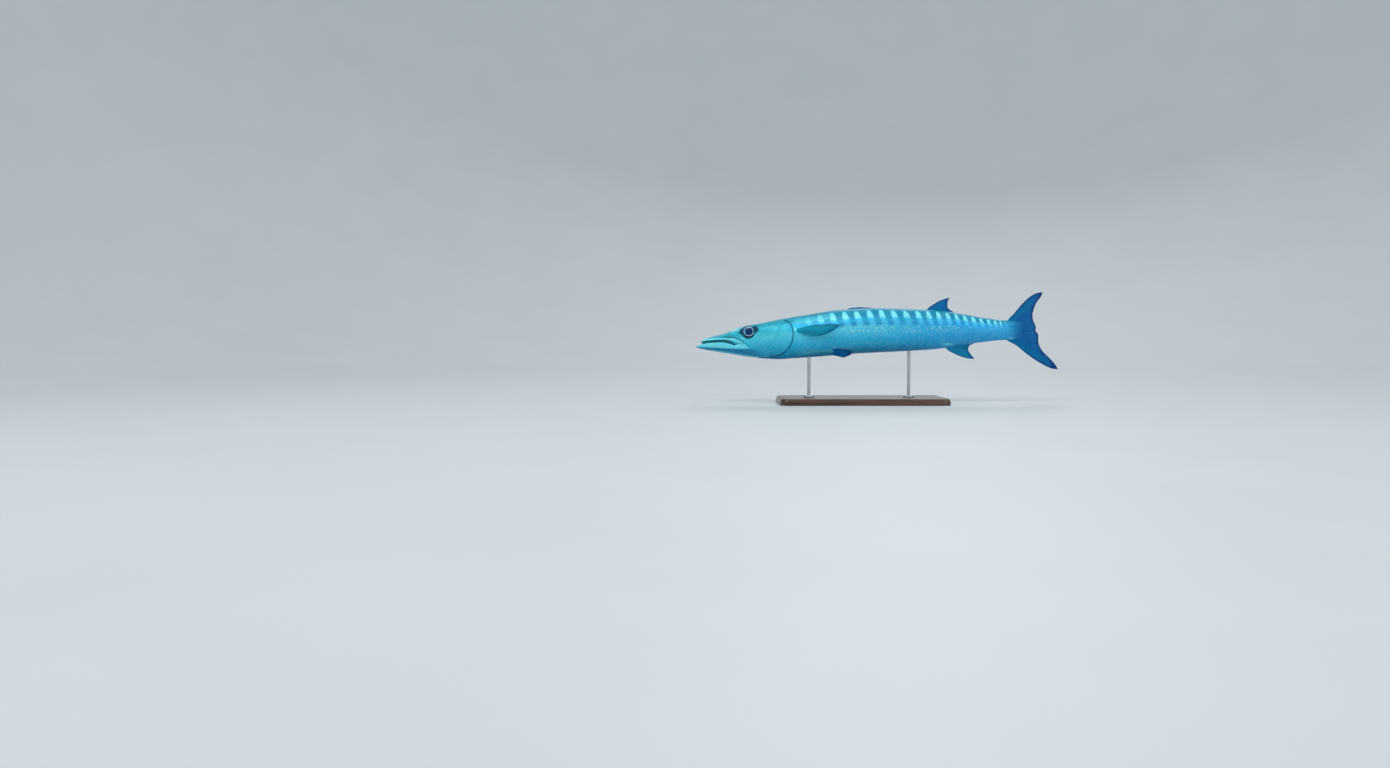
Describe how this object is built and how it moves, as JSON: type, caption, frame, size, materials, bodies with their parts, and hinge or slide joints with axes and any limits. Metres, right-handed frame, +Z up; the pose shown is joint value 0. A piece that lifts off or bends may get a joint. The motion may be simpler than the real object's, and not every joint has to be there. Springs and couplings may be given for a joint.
{
  "type": "blackfin barracuda model on a display stand",
  "caption": "Life-size slender predatory sea fish with a long pointed jaw, barred flanks and a forked tail, swimming level on a flat base with short rods.",
  "frame": {"origin": "centre of the underside of the stand's base", "axes": "+X along the fish from head to tail, +Z up, -Y towards the fish's left side"},
  "size_m": [1.015, 0.19, 0.3083],
  "materials": {
    "skin": "silvery scaled skin, teal on the back and pale on the flank, with dark and pale bars",
    "dark_fin": "dark blue fin membrane with raised rays",
    "green_fin": "dusky green fin membrane with raised rays",
    "eye": "wet dark pupil in a silver blue ring",
    "board": "dark stained wood with a satin lacquer",
    "steel": "brushed steel"
  },
  "bodies": {
    "root": {"upper_jaw": "skin", "lower_jaw": "skin", "head": "skin", "gill_cover_left": "skin", "gill_cover_right": "skin", "trunk_front": "skin", "trunk_middle": "skin", "trunk_rear": "skin", "tail_stalk": "skin", "eye_left": "eye", "eye_right": "eye", "first_dorsal_fin": "dark_fin", "second_dorsal_fin": "dark_fin", "anal_fin": "dark_fin", "caudal_fin_upper": "dark_fin", "caudal_fin_lower": "dark_fin", "pectoral_fin_left": "green_fin", "pectoral_fin_right": "green_fin", "pelvic_fin_left": "green_fin", "pelvic_fin_right": "green_fin", "stand_base": "board", "stand_rod_front": "steel", "stand_rod_rear": "steel"}
  },
  "joints": []
}
